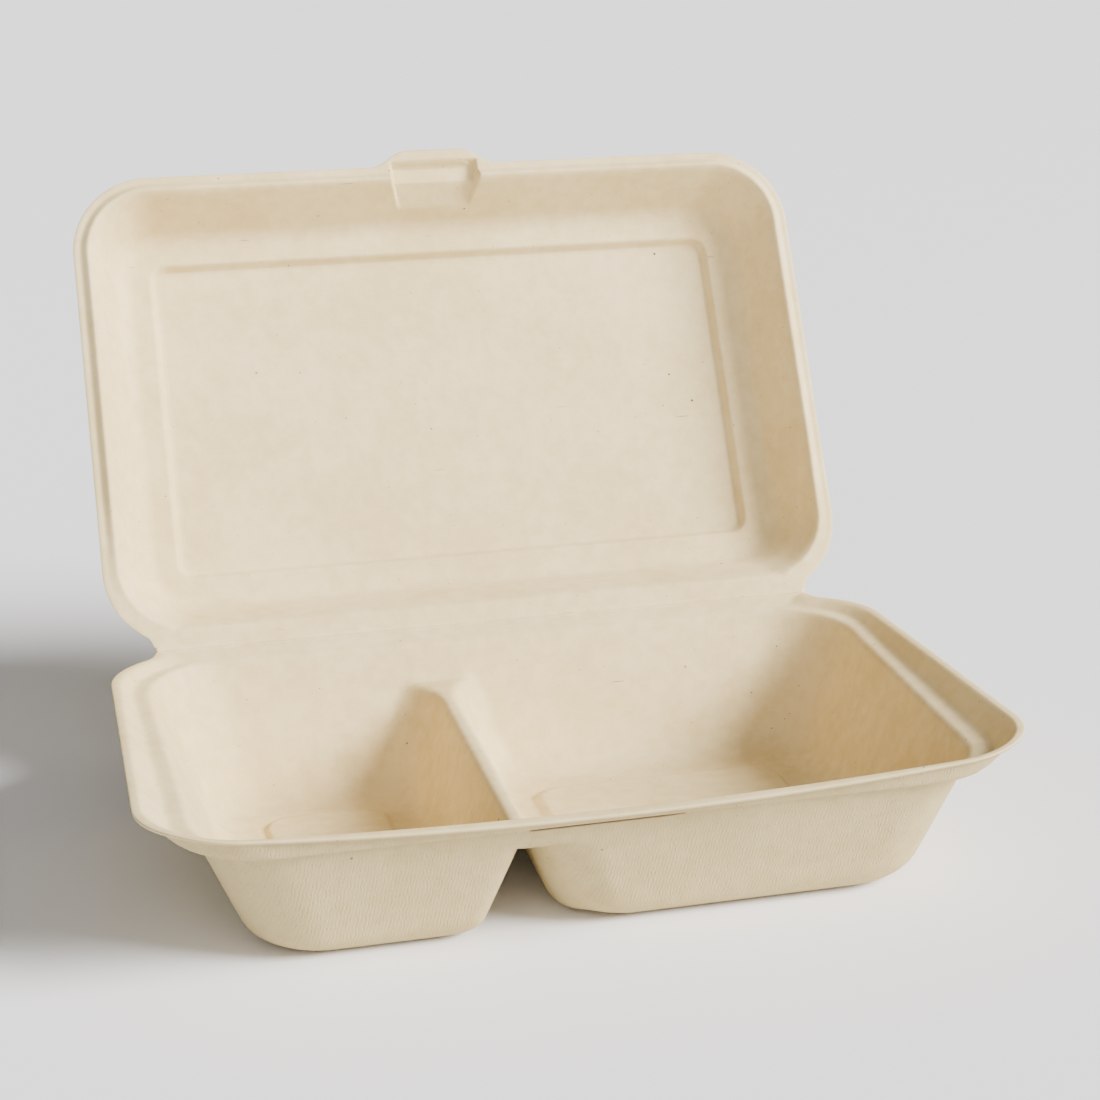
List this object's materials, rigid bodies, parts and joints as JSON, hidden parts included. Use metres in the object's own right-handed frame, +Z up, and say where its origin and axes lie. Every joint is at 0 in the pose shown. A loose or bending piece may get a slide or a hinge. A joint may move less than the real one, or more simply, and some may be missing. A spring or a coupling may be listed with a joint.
{
  "type": "hinged food container",
  "caption": "Moulded plant-fibre food container: a tray with two wells and a divider, folding to a domed lid with a tongue that fits a slot in the tray's front.",
  "frame": {"origin": "middle of the tray's foot, on the surface it stands on", "axes": "+Z up, +Y from the front edge towards the fold line, +X to the right as seen from the front"},
  "size_m": [0.25, 0.2457, 0.1935],
  "materials": {
    "pulp": "matt, natural unbleached moulded fibre, smooth inside and finely wire-marked outside"
  },
  "bodies": {
    "tray": {"tray": "pulp"},
    "lid": {"lid": "pulp"}
  },
  "joints": [
    {"name": "fold", "type": "hinge", "parent": "tray", "child": "lid", "pos_m": [0, 0.0835, 0.04585], "axis": [1, 0, 0], "range_deg": [-62.8, 117.2]}
  ]
}
